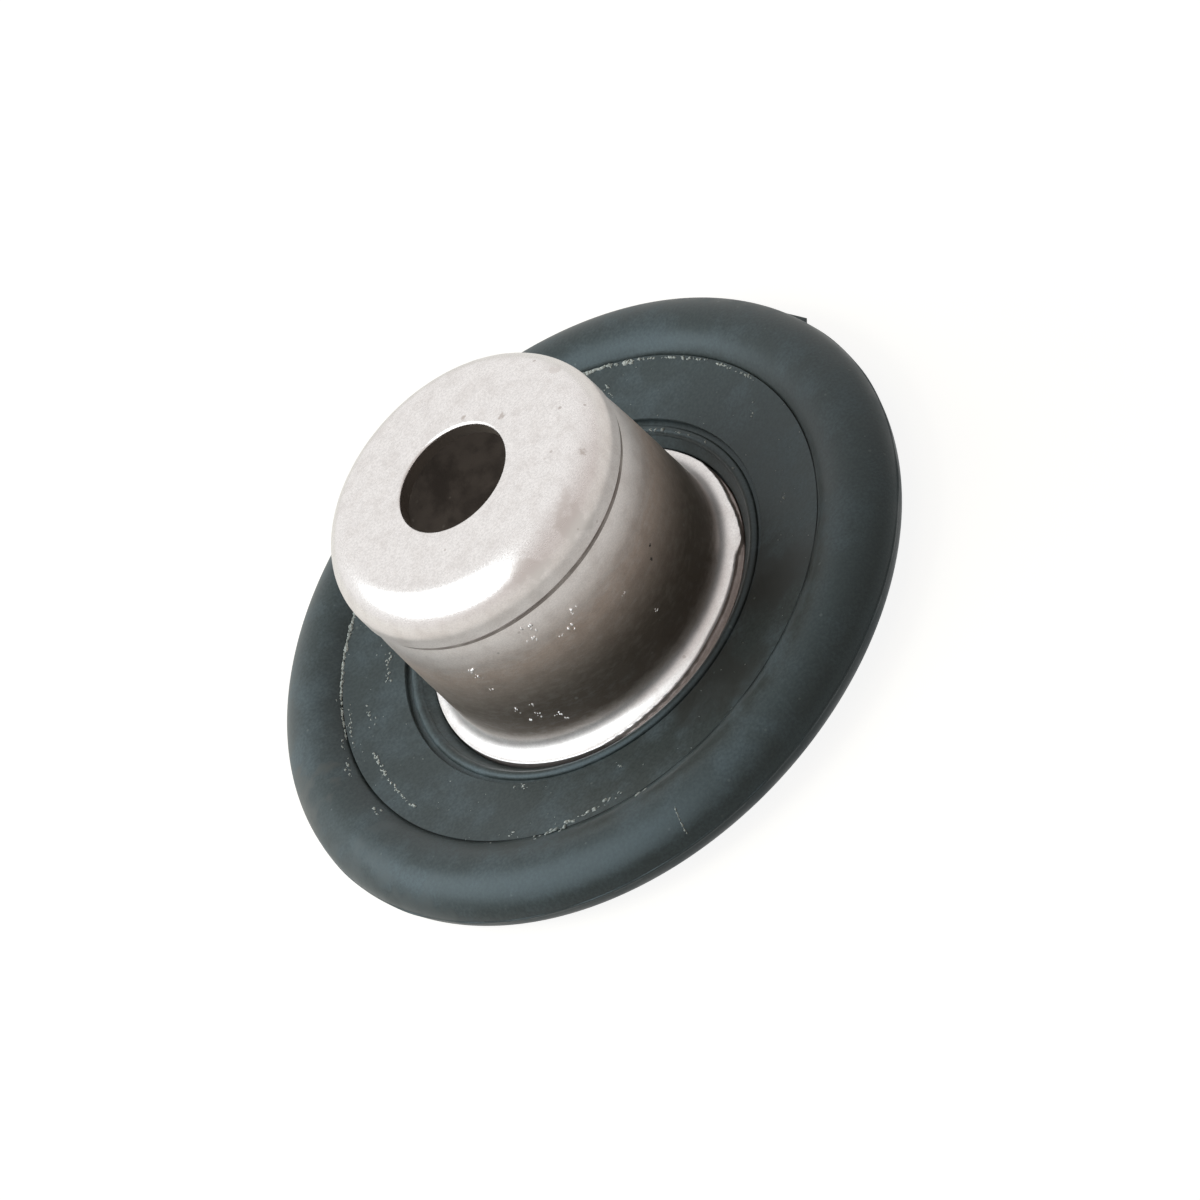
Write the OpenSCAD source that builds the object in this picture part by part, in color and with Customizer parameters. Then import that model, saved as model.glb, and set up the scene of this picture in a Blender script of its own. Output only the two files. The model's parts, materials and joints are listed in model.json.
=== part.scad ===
// Shock absorber mount: a deep-drawn steel cup whose flange is bonded into a moulded rubber ring.
// The axis is +Z, the crown is at the top and the ring's flat underside lies on z = 0.

/* [Steel cup] */
// Outside diameter of the drawn wall at its foot
cup_d = 32.9; // [28:0.1:38]
// Angle in degrees at which the wall leans in towards the crown
wall_draft = 1.5; // [0:0.25:3]
// Height of the crown's top face above the flange's top face
cup_rise = 23.5; // [14:0.05:40]
// Thickness of the steel sheet
sheet_t = 1.6; // [1:0.1:2]
// Outside radius where the wall turns into the crown
crown_edge_r = 3.8; // [2.4:0.1:4.6]
// Distance of the draw line below the crown's top face
draw_line_drop = 5.3; // [4.9:0.05:9]
// Width of the draw line round the wall
draw_line_w = 0.44; // [0.2:0.02:0.8]

/* [Rod hole] */
// Diameter of the hole that the damper rod's threaded end passes through
rod_hole_d = 12.2; // [8:0.1:16]
// Rounding of the hole's upper edge
hole_edge_r = 0.3; // [0.1:0.05:0.6]

/* [Flange] */
// Distance from the cup's wall to the flange's edge
flange_reach = 1.8; // [1.7:0.1:4]
// Radius of the bend between the wall and the flange, on the upper side
flange_bend_r = 1.4; // [0.6:0.1:1.5]
// Rounding of the flange's upper edge
flange_edge_r = 0.25; // [0.05:0.05:0.4]

/* [Rubber ring] */
// Diameter over the outside of the bead
ring_d = 71.5; // [64:0.1:84]
// Thickness of the web beside the bead
web_outer_t = 4.65; // [4:0.05:5]
// Thickness of the web at the inner groove
web_inner_t = 3.5; // [3:0.05:4.4]
// Thickness of the rubber under the flange
seat_t = 0.8; // [0.6:0.05:2.4]
// Width of the seat under the flange's edge
seat_w = 1.2; // [0.8:0.05:1.6]

/* [Bead] */
// Width of the bead at its middle
bead_w = 8.4; // [7.4:0.1:10]
// Height of the bead's crest above the underside
bead_h = 6; // [5.6:0.05:6.6]
// Height of the bead's middle above the underside
bead_mid_h = 2.55; // [2.3:0.05:2.7]
// Radius of the bead's round sides
bead_side_r = 2.8; // [2.6:0.05:3.1]
// Width of the crease between the bead and the web
crease_w = 0.5; // [0.2:0.05:1]

/* [Inner lip] */
// Clearance between the flange's edge and the rubber round it
flange_gap = 0.2; // [0.05:0.05:0.3]
// Depth to which the flange's edge is sunk in the rubber
flange_sink = 0.7; // [0.3:0.05:1.2]
// Distance from the flange's pocket to the middle of the lip
lip_reach = 1.5; // [0.8:0.05:2.4]
// Radius of the lip's round crest
lip_r = 0.55; // [0.3:0.05:0.8]
// Drop of the lip's crest below the web's inner edge
lip_drop = 0.1; // [0:0.05:0.4]
// Width of the groove outside the lip
groove_w = 0.5; // [0.2:0.05:1.2]
// Depth of the groove outside the lip
groove_depth = 0.5; // [0.2:0.05:1]

/* [Hidden] */
$fn = 128;

cup_r = cup_d / 2;
rod_hole_r = rod_hole_d / 2;
flange_r = cup_r + flange_reach;
flange_top_z = seat_t + sheet_t;
crown_top_z = flange_top_z + cup_rise;

// The leaning wall meets the bend at its foot and the crown's rounding at its head, in line with both
// It laps into each of them by a hair, so that line and arc cross at one clear point
wall_lap = 0.002;
wall_normal = [cos(wall_draft), sin(wall_draft)];
bend_mid_r = cup_r + flange_bend_r * cos(wall_draft);
bend_mid_z = flange_top_z + flange_bend_r;
wall_foot_z = bend_mid_z - flange_bend_r * sin(wall_draft);
crown_mid_z = crown_top_z - crown_edge_r;
wall_head_z = crown_mid_z + crown_edge_r * sin(wall_draft);
wall_head_r = cup_r - (wall_head_z - wall_foot_z) * tan(wall_draft);
crown_mid_r = wall_head_r - crown_edge_r * cos(wall_draft);
draw_line_z = crown_top_z - draw_line_drop;
draw_line_r = cup_r - (draw_line_z - wall_foot_z) * tan(wall_draft);

seat_bore_r = flange_r - seat_w;
pocket_r = flange_r + flange_gap;
ledge_z = seat_t + flange_sink;
lip_mid_r = pocket_r + lip_reach;
lip_mid_z = web_inner_t - lip_drop - lip_r;
groove_z = web_inner_t - groove_depth;
groove_outer_r = lip_mid_r + lip_r + groove_w;

// The bead's section is a three-centred arch: two round sides and a flatter crown that meets both in line
bead_mid_r = (ring_d - bead_w) / 2;
bead_side_offset = bead_w / 2 - bead_side_r;
bead_rise = bead_h - bead_mid_h;
bead_crown_r = (pow(bead_side_offset, 2) + pow(bead_rise, 2) - pow(bead_side_r, 2))
    / (2 * (bead_rise - bead_side_r));
bead_crown_mid_z = bead_h - bead_crown_r;
crease_rise = web_outer_t - bead_mid_h;
crease_r = bead_mid_r - bead_side_offset - sqrt(pow(bead_side_r, 2) - pow(crease_rise, 2));

// A rectangle that spans two radii and two heights of a section
module band(r_from, r_to, z_from, z_to) {
    translate([r_from, z_from])
        square([r_to - r_from, z_to - z_from]);
}

// A disc in the section, at a radius and a height
module spot(r, z, spot_r) {
    translate([r, z])
        circle(r = spot_r);
}

// What a rounded edge takes off a square corner, seen from outside the metal
// turn is 1 where the metal lies at larger radii than the corner and -1 where it lies inside
module edge_relief(r, z, edge_r, turn) {
    difference() {
        band(min(r, r + turn * edge_r), max(r, r + turn * edge_r), z - edge_r, z + edge_r);
        spot(r + turn * edge_r, z - edge_r, edge_r);
    }
}

// All that lies under the cup's upper surface out to the bend, drawn in from that surface by an inset
module enclosed_section(inset) {
    foot = [bend_mid_r, bend_mid_z] - (flange_bend_r + inset - wall_lap) * wall_normal;
    head = [crown_mid_r, crown_mid_z] + (crown_edge_r - inset - wall_lap) * wall_normal;
    spot(crown_mid_r, crown_mid_z, crown_edge_r - inset);
    difference() {
        polygon([
            [0, seat_t - inset],
            [bend_mid_r, seat_t - inset],
            [bend_mid_r, flange_top_z - inset],
            foot,
            head,
            [crown_mid_r, crown_top_z - inset],
            [0, crown_top_z - inset]
        ]);
        spot(bend_mid_r, bend_mid_z, flange_bend_r + inset);
    }
}

// The cup with its flange, rod hole and draw line
module cup_section() {
    difference() {
        union() {
            enclosed_section(0);
            band(bend_mid_r, flange_r, seat_t, flange_top_z);
        }
        enclosed_section(sheet_t);
        band(0, rod_hole_r, crown_top_z - 2 * sheet_t, crown_top_z + sheet_t);
        edge_relief(rod_hole_r, crown_top_z, hole_edge_r, 1);
        edge_relief(flange_r, flange_top_z, flange_edge_r, -1);
        spot(draw_line_r, draw_line_z, draw_line_w / 2);
    }
}

// The part of the crown arc that lies between the centres of the two sides, seen from the arc's own centre
module bead_crown_section() {
    lean = bead_side_offset / (bead_mid_h - bead_crown_mid_z);
    intersection() {
        spot(bead_mid_r, bead_crown_mid_z, bead_crown_r);
        polygon([
            [bead_mid_r, bead_crown_mid_z],
            [bead_mid_r + lean * bead_crown_r, bead_h],
            [bead_mid_r - lean * bead_crown_r, bead_h]
        ]);
    }
}

// Round-sided bead, cut level at the underside
module bead_section() {
    intersection() {
        union() {
            spot(bead_mid_r - bead_side_offset, bead_mid_h, bead_side_r);
            spot(bead_mid_r + bead_side_offset, bead_mid_h, bead_side_r);
            bead_crown_section();
            band(bead_mid_r - bead_side_offset, bead_mid_r + bead_side_offset, 0, bead_mid_h);
        }
        band(0, ring_d, 0, 2 * bead_h);
    }
}

// Dished web, the groove at its inner edge and the pocket that the flange is bonded into
module web_section() {
    polygon([
        [seat_bore_r, 0],
        [bead_mid_r, 0],
        [bead_mid_r, web_outer_t],
        [crease_r, web_outer_t],
        [groove_outer_r, web_inner_t],
        [groove_outer_r, groove_z],
        [lip_mid_r, groove_z],
        [pocket_r, ledge_z],
        [pocket_r, seat_t],
        [seat_bore_r, seat_t]
    ]);
}

// Bead, web and lip in one moulding, with the crease where the bead meets the web
module ring_section() {
    difference() {
        union() {
            bead_section();
            web_section();
            spot(lip_mid_r, lip_mid_z, lip_r);
        }
        spot(crease_r, web_outer_t, crease_w / 2);
    }
}

module steel_cup() {
    color("silver")
        rotate_extrude()
            cup_section();
}

module rubber_ring() {
    color("darkslategray")
        rotate_extrude()
            ring_section();
}

steel_cup();
rubber_ring();
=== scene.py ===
"""Looks of a shock absorber mount: a drawn steel cup bonded into a moulded rubber ring.

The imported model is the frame. Lengths are in metres, the mount's axis is +Z and the ring's
underside lies on z = 0. Angles round the axis are in degrees, from +X towards +Y.
"""

import json
import logging
import math
import random
from dataclasses import dataclass, field
from enum import Enum
from typing import Callable, NamedTuple

import bmesh
import bpy
import numpy as np
from mathutils import Matrix, Vector


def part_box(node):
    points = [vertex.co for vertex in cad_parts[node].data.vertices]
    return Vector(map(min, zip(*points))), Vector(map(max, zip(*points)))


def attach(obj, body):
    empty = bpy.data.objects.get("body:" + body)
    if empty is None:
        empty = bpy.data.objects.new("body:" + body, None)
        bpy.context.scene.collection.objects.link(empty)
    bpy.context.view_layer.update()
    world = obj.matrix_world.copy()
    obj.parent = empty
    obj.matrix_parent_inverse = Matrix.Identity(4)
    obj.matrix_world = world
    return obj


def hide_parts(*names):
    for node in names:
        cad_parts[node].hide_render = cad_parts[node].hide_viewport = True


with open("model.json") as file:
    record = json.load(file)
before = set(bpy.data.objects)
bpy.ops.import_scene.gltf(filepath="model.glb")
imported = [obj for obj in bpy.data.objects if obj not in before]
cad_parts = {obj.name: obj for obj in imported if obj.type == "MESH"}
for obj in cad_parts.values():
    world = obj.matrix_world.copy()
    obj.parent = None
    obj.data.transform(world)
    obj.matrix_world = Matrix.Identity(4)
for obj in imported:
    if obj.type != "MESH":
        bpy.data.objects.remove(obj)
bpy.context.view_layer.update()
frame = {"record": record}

LOG = logging.getLogger("damper_mount")
MM = 0.001
STEP_SLACK = 1e-6
EDGE_SLACK = 1.01
BODY = "root"

Mesh = bpy.types.Mesh
Piece = bpy.types.Object
Material = bpy.types.Material
Tree = bpy.types.NodeTree
Node = bpy.types.Node
Socket = bpy.types.NodeSocket
Colour = tuple[float, float, float]
Direction = tuple[float, float, float]
Point = tuple[float, float]
Grid = np.ndarray
Grids = tuple[Grid, Grid]
Shaper = Callable[[Grid, Grid, Grid], Grids]


class Skin(Enum):
    """Finish on a stretch of a half section; the value is its material index."""

    OUTSIDE = 0
    INSIDE = 1
    GROOVE = 2


class FleckKind(Enum):
    """What a fleck on the surface is; the value is the name of its piece."""

    FLASH = "crease_flash"
    NICK = "cup_nicks"


def mount_radius(name: str) -> float:
    """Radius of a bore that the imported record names.

    Args:
        name: The mount's name in the record.

    Returns:
        The radius in metres.
    """
    found = [m for m in frame["record"]["mounts"] if m["name"] == name]
    return found[0]["dims"]["r_mm"] * MM


def smooth_step(low: float, high: float, value: Grid) -> Grid:
    """Share from 0 at low to 1 at high, level at both ends.

    Args:
        low: Value with a share of 0.
        high: Value with a share of 1.
        value: Values to grade.

    Returns:
        The share of each value.
    """
    share = np.clip((value - low) / (high - low), 0.0, 1.0)
    return share * share * (3.0 - 2.0 * share)


def on_circle(mid: Point, radius: float, angle: float) -> Point:
    """Point at an angle in degrees on a circle in a half section."""
    turn = math.radians(angle)
    return mid[0] + radius * math.cos(turn), mid[1] + radius * math.sin(turn)


def round_profile(points: tuple[Point, ...], azimuth: Grid) -> Grid:
    """Length that changes in straight steps round the axis.

    Args:
        points: Angles in degrees from -180 to 180, rising, each with a length in millimetres.
        azimuth: Angles in radians.

    Returns:
        The length at each angle in metres.
    """
    degrees = (np.degrees(azimuth) + 180.0) % 360.0 - 180.0
    return np.interp(degrees, [p[0] for p in points], [p[1] for p in points]) * MM


class Wave(NamedTuple):
    """An uneven wave: the numbers of waves per turn that are added up, and their seed."""

    orders: range
    seed: int


LINE_WEAR = Wave(range(1, 14, 2), 29)
LINE_WAVER = Wave(range(2, 9), 11)
WALL_SWELL = Wave(range(3, 9), 23)
FIN_RAGGED = Wave(range(5, 40, 3), 31)
CREASE_RAGGED = Wave(range(3, 30, 2), 41)
BEAD_SWAY = Wave(range(2, 7), 43)


def wobble(azimuth: Grid, wave: Wave) -> Grid:
    """Seamless uneven wave round the axis, between about -1 and 1.

    Args:
        azimuth: Angles in radians.
        wave: The wave.

    Returns:
        The wave at each angle.
    """
    draw = random.Random(wave.seed)
    total = np.zeros_like(azimuth)
    for order in wave.orders:
        strength, phase = draw.uniform(0.4, 1.0), draw.uniform(0.0, math.tau)
        total = total + strength * np.sin(order * azimuth + phase)
    return total / math.sqrt(len(wave.orders))


@dataclass
class HalfSection:
    """A closed outline in radius and height, walked as lines and arcs.

    Attributes:
        pitch: Longest step between two points of the outline.
        points: Radius and height of each point.
        skins: Finish of the stretch that ends at each point.
    """

    pitch: float
    points: list[Point] = field(default_factory=list)
    skins: list[Skin] = field(default_factory=list)

    def add(self, r: float, z: float, skin: Skin) -> None:
        """Adds one point to the outline."""
        self.points.append((r, z))
        self.skins.append(skin)

    def line(self, r: float, z: float, skin: Skin = Skin.OUTSIDE,
             pitch: float | None = None) -> None:
        """Walks straight to a point.

        Args:
            r: Radius of the end.
            z: Height of the end.
            skin: Finish of the stretch.
            pitch: Longest step here, or None for the outline's own.
        """
        from_r, from_z = self.points[-1]
        length = math.hypot(r - from_r, z - from_z)
        steps = max(1, math.ceil(length / (pitch or self.pitch) - STEP_SLACK))
        for i in range(1, steps + 1):
            self.add(from_r + (r - from_r) * i / steps, from_z + (z - from_z) * i / steps, skin)

    def arc(self, mid: Point, radius: float, start: float, end: float,
            skin: Skin = Skin.OUTSIDE, pitch: float | None = None) -> None:
        """Walks along an arc whose first point is already there.

        Args:
            mid: Radius and height of the arc's centre.
            radius: The arc's own radius.
            start: First angle in degrees, from outwards towards up.
            end: Last angle in degrees.
            skin: Finish of the stretch.
            pitch: Longest step here, or None for the outline's own.
        """
        length = abs(math.radians(end - start)) * radius
        steps = max(2, math.ceil(length / (pitch or self.pitch)))
        for i in range(1, steps + 1):
            self.add(*on_circle(mid, radius, start + (end - start) * i / steps), skin)

    def revolve(self, name: str, segments: int, shape: Shaper) -> Piece:
        """Turns the outline into a closed mesh, whose last point joins its first.

        Args:
            name: Name of the new piece.
            segments: Steps round the axis.
            shape: Takes angles, radii and heights and gives the uneven radii and heights.

        Returns:
            The new object, linked to the scene.
        """
        outline = np.array(self.points)
        count = len(outline)
        turns = np.linspace(0.0, math.tau, segments, endpoint=False)
        azimuth = np.repeat(turns[:, None], count, axis=1)
        level = np.zeros_like(azimuth)
        r, z = shape(azimuth, level + outline[:, 0], level + outline[:, 1])
        places = np.stack([r * np.cos(azimuth), r * np.sin(azimuth), z], axis=-1).reshape(-1, 3)
        turn, step = np.meshgrid(np.arange(segments), np.arange(count), indexing="ij")
        next_turn, next_step = (turn + 1) % segments, (step + 1) % count
        corners = ((turn, step), (next_turn, step), (next_turn, next_step), (turn, next_step))
        quads = np.stack([t * count + s for t, s in corners], axis=-1).reshape(-1, 4)
        mesh = bpy.data.meshes.new(name)
        mesh.from_pydata(places.tolist(), [], quads.tolist())
        indices = np.array([skin.value for skin in self.skins])[next_step.reshape(-1)]
        mesh.polygons.foreach_set("material_index", indices.astype(np.int32))
        return place_mesh(mesh, name)


def place_mesh(mesh: Mesh, name: str, sharp_deg: float = 40.0) -> Piece:
    """Gives a mesh outward faces and smooth shading and puts it in the scene.

    Args:
        mesh: The mesh, in the frame's own coordinates.
        name: Name of the object.
        sharp_deg: Edges that turn more than this stay crisp.

    Returns:
        The new object.
    """
    work = bmesh.new()
    work.from_mesh(mesh)
    bmesh.ops.recalc_face_normals(work, faces=work.faces)
    work.to_mesh(mesh)
    work.free()
    mesh.shade_smooth()
    mesh.set_sharp_from_angle(angle=math.radians(sharp_deg))
    obj = bpy.data.objects.new(name, mesh)
    bpy.context.scene.collection.objects.link(obj)
    return obj


class NodeBench:
    """A node tree with short calls that add and join nodes."""

    def __init__(self, tree: Tree) -> None:
        """Takes over a tree and empties it."""
        self.tree = tree
        tree.nodes.clear()

    def add(self, kind: str, feeds: dict[str | int, object] | None = None,
            **settings: object) -> Node:
        """Adds a node.

        Args:
            kind: Class of the node.
            feeds: Sockets or plain values for its inputs, by name or place.
            **settings: Properties to set on it.

        Returns:
            The node.
        """
        node = self.tree.nodes.new(kind)
        for key, value in settings.items():
            setattr(node, key, value)
        for key, value in (feeds or {}).items():
            self.feed(value, node.inputs[key])
        return node

    def feed(self, value: object, socket: Socket) -> None:
        """Links a socket to an input, or sets the input to a plain value.

        Args:
            value: Socket or plain value.
            socket: The input.
        """
        if isinstance(value, Socket):
            self.tree.links.new(value, socket)
        else:
            socket.default_value = value

    def maths(self, operation: str, *values: object, clamp: bool = False) -> Socket:
        """Adds a Math node.

        Args:
            operation: Its operation.
            *values: Sockets or numbers for its inputs.
            clamp: Whether the result stays from 0 to 1.

        Returns:
            Its result.
        """
        feeds = dict(enumerate(values))
        return self.add("ShaderNodeMath", feeds, operation=operation, use_clamp=clamp).outputs[0]

    def blend(self, share: object, low: object, high: object, mode: str = "MIX") -> Socket:
        """Mixes two colours.

        Args:
            share: Socket or number for the second colour's share.
            low: First colour.
            high: Second colour.
            mode: The node's blend type.

        Returns:
            The mixed colour.
        """
        node = self.add("ShaderNodeMix", data_type="RGBA", blend_type=mode)
        for value, name in ((low, "A_Color"), (high, "B_Color"), (share, "Factor_Float")):
            socket = next(s for s in node.inputs if s.identifier == name)
            opaque = isinstance(value, tuple) and len(value) == 3
            self.feed((*value, 1.0) if opaque else value, socket)
        return next(s for s in node.outputs if s.identifier == "Result_Color")

    def graded(self, value: object, low: object, high: object, to_low: object = 0.0,
               to_high: object = 1.0) -> Socket:
        """Maps a value smoothly from one range to another.

        Args:
            value: Socket to map.
            low: Value that gives to_low.
            high: Value that gives to_high.
            to_low: Result at the low end.
            to_high: Result at the high end.

        Returns:
            The mapped value.
        """
        feeds = dict(enumerate((value, low, high, to_low, to_high)))
        return self.add("ShaderNodeMapRange", feeds, interpolation_type="SMOOTHSTEP").outputs[0]

    def noise(self, place: Socket, waves: object, detail: float, roughness: float = 0.5) -> Socket:
        """Adds a Noise Texture node.

        Args:
            place: Where it is read.
            waves: Socket or number of its waves per length.
            detail: Number of its finer layers.
            roughness: Strength of those layers.

        Returns:
            Its value.
        """
        feeds = {"Vector": place, "Scale": waves, "Detail": detail, "Roughness": roughness}
        return self.add("ShaderNodeTexNoise", feeds).outputs[0]

    def group(self, tree: Tree, **values: object) -> Socket:
        """Places a shared effect.

        Args:
            tree: The effect's node group.
            **values: Values of its inputs, with spaces in their names as underscores.

        Returns:
            The effect's mask.
        """
        feeds = {key.replace("_", " "): value for key, value in values.items()}
        return self.add("ShaderNodeGroup", feeds, node_tree=tree).outputs[0]


class EffectShelf:
    """Surface effects that several finishes share, each built once as a node group."""

    def __init__(self) -> None:
        """Builds the groups."""
        self.grain = self.make_grain()
        self.blotches = self.make_blotches()
        self.specks = self.make_specks()
        self.heights = self.make_heights()
        self.stain_and_shade = self.make_stain_and_shade()

    @staticmethod
    def open_group(name: str, inputs: dict[str, float]) -> tuple[NodeBench, dict[str, Socket]]:
        """Starts a group that reads the place on the object in millimetres.

        Args:
            name: Name of the group.
            inputs: Its inputs with their usual values.

        Returns:
            The bench and the sockets of the inputs, with the place under "Place".
        """
        tree = bpy.data.node_groups.new(name, "ShaderNodeTree")
        for key, value in inputs.items():
            socket = tree.interface.new_socket(key, in_out="INPUT", socket_type="NodeSocketFloat")
            socket.default_value = value
        tree.interface.new_socket("Mask", in_out="OUTPUT", socket_type="NodeSocketFloat")
        bench = NodeBench(tree)
        entry = bench.add("NodeGroupInput")
        here = bench.add("ShaderNodeTexCoord").outputs["Object"]
        place = bench.add("ShaderNodeVectorMath", {0: here, "Scale": 1.0 / MM}, operation="SCALE")
        sockets = {key: entry.outputs[key] for key in inputs}
        sockets["Place"] = place.outputs[0]
        return bench, sockets

    @staticmethod
    def close_group(bench: NodeBench, result: Socket) -> Tree:
        """Joins the result to the group's output and returns the group."""
        bench.add("NodeGroupOutput", {"Mask": result})
        return bench.tree

    def make_grain(self) -> Tree:
        """Fine even grain, with waves per millimetre and a stretch along the axis.

        Returns:
            The group.
        """
        bench, given = self.open_group(
            "fine_grain", {"Waves": 4.0, "Axial Stretch": 1.0, "Contrast": 1.0})
        stretch = bench.add("ShaderNodeCombineXYZ", {0: 1.0, 1: 1.0, 2: given["Axial Stretch"]})
        place = bench.add("ShaderNodeVectorMath", {0: given["Place"], 1: stretch.outputs[0]},
                          operation="MULTIPLY")
        noise = bench.noise(place.outputs[0], given["Waves"], detail=3.0, roughness=0.6)
        centred = bench.maths("SUBTRACT", noise, 0.5)
        lifted = bench.maths("MULTIPLY_ADD", centred, given["Contrast"], 0.5, clamp=True)
        return self.close_group(bench, lifted)

    def make_blotches(self) -> Tree:
        """Soft uneven patches: waves per millimetre, and levels at which they start and fill.

        Returns:
            The group.
        """
        bench, given = self.open_group("soft_blotches", {"Waves": 0.2, "Start": 0.45, "Full": 0.65})
        noise = bench.noise(given["Place"], given["Waves"], detail=5.0, roughness=0.62)
        return self.close_group(bench, bench.graded(noise, given["Start"], given["Full"]))

    def make_specks(self) -> Tree:
        """Scattered round specks: cells per millimetre, size in one, and share of them filled.

        Returns:
            The group.
        """
        smallest = 0.3
        bench, given = self.open_group(
            "scattered_specks", {"Cells": 1.0, "Size": 0.2, "Share": 0.2})
        cells = bench.add("ShaderNodeTexVoronoi",
                          {"Vector": given["Place"], "Scale": given["Cells"]}, feature="F1")
        parts = bench.add("ShaderNodeSeparateColor", {0: cells.outputs["Color"]}).outputs
        taken = bench.maths("LESS_THAN", parts[0], given["Share"])
        reach = bench.maths("MULTIPLY", given["Size"], bench.maths("ADD", parts[1], smallest))
        off = bench.maths("DIVIDE", cells.outputs["Distance"], reach)
        inside = bench.maths("SUBTRACT", 1.0, off, clamp=True)
        mask = bench.maths("MULTIPLY", taken, bench.maths("SQRT", inside))
        return self.close_group(bench, mask)

    def make_heights(self) -> Tree:
        """Fade along the axis, from 0 at one height to 1 at another, both in millimetres.

        Returns:
            The group.
        """
        bench, given = self.open_group("height_fade", {"From": 0.0, "To": 10.0})
        z = bench.add("ShaderNodeSeparateXYZ", {0: given["Place"]}).outputs[2]
        return self.close_group(bench, bench.graded(z, given["From"], given["To"]))

    def make_stain_and_shade(self) -> Tree:
        """One ragged spot, used both for stains and for patches of painted shade: place and radius
        in millimetres, and how much its edge is broken up.

        Returns:
            The group.
        """
        lobes, throw, solid = 1.6, 4.0, 0.35
        bench, given = self.open_group(
            "stain_and_shade_spot", {"X": 0.0, "Y": 0.0, "Z": 0.0, "Radius": 1.0, "Ragged": 0.5})
        centre = bench.add("ShaderNodeCombineXYZ", {i: given[key] for i, key in enumerate("XYZ")})
        gap = bench.add("ShaderNodeVectorMath", {0: given["Place"], 1: centre.outputs[0]},
                        operation="DISTANCE")
        waves = bench.maths("DIVIDE", lobes, given["Radius"])
        noise = bench.noise(given["Place"], waves, detail=4.0)
        broken = bench.maths("MULTIPLY", bench.maths("SUBTRACT", noise, 0.5), given["Ragged"])
        off = bench.maths("DIVIDE", gap.outputs["Value"], given["Radius"])
        reach = bench.maths("MULTIPLY_ADD", broken, throw, off)
        return self.close_group(bench, bench.graded(reach, solid, 1.0, 1.0, 0.0))


class HeightBand(NamedTuple):
    """A band round the part with soft edges.

    Attributes:
        top: Heights in millimetres at which the band starts and is full, from above.
        foot: Heights in millimetres at which the band starts and is full, from below.
    """

    top: Point
    foot: Point

    def mask(self, bench: NodeBench, shelf: EffectShelf) -> Socket:
        """Places the band's mask on a bench."""
        fades = (bench.group(shelf.heights, From=a, To=b) for a, b in (self.top, self.foot))
        return bench.maths("MULTIPLY", *fades)


class FilmAndShade(NamedTuple):
    """A tinted band round the part, used both for real films and for painted shade.

    Attributes:
        tone: Colour by which it multiplies the colour under it.
        metal: Its metallic value.
        rough: Its roughness.
        streak: Strength of the streaks round the part in it.
        band: Where it is.
    """

    tone: Colour
    metal: float
    rough: float
    streak: float
    band: HeightBand

    def share(self, bench: NodeBench, shelf: EffectShelf) -> Socket:
        """Places the band's share on a bench.

        Args:
            bench: The material's bench.
            shelf: The shared effects.

        Returns:
            The share.
        """
        streaks = bench.group(shelf.grain, Waves=0.9, Axial_Stretch=2.6, Contrast=1.8)
        gain = bench.graded(streaks, 0.0, 1.0, 1.0 - self.streak, 1.0 + self.streak)
        return bench.maths("MULTIPLY", self.band.mask(bench, shelf), gain, clamp=True)


class StainAndShadeSpot(NamedTuple):
    """A spot on a turned surface, used both for real stains and for patches of painted shade.

    Attributes:
        azimuth: Angle round the axis in degrees.
        r: Radius of its place in millimetres.
        z: Height of its place in millimetres.
        size: Its radius in millimetres.
        tone: Its colour.
        ragged: How much its edge is broken up.
    """

    azimuth: float
    r: float
    z: float
    size: float
    tone: Colour
    ragged: float = 0.5

    def mask(self, bench: NodeBench, shelf: EffectShelf) -> Socket:
        """Places the spot's mask on a bench."""
        x, y = on_circle((0.0, 0.0), self.r, self.azimuth)
        return bench.group(shelf.stain_and_shade, X=x, Y=y, Z=self.z, Radius=self.size, Ragged=self.ragged)


GRAIN_CONTRAST = 1.4
GRAIN_SPAN = (0.2, 0.8)
PATCH_LEVELS = (0.42, 0.68)
ROUGH_SPAN = (0.1, 0.9)
SPECK_SIZE = 0.22


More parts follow.
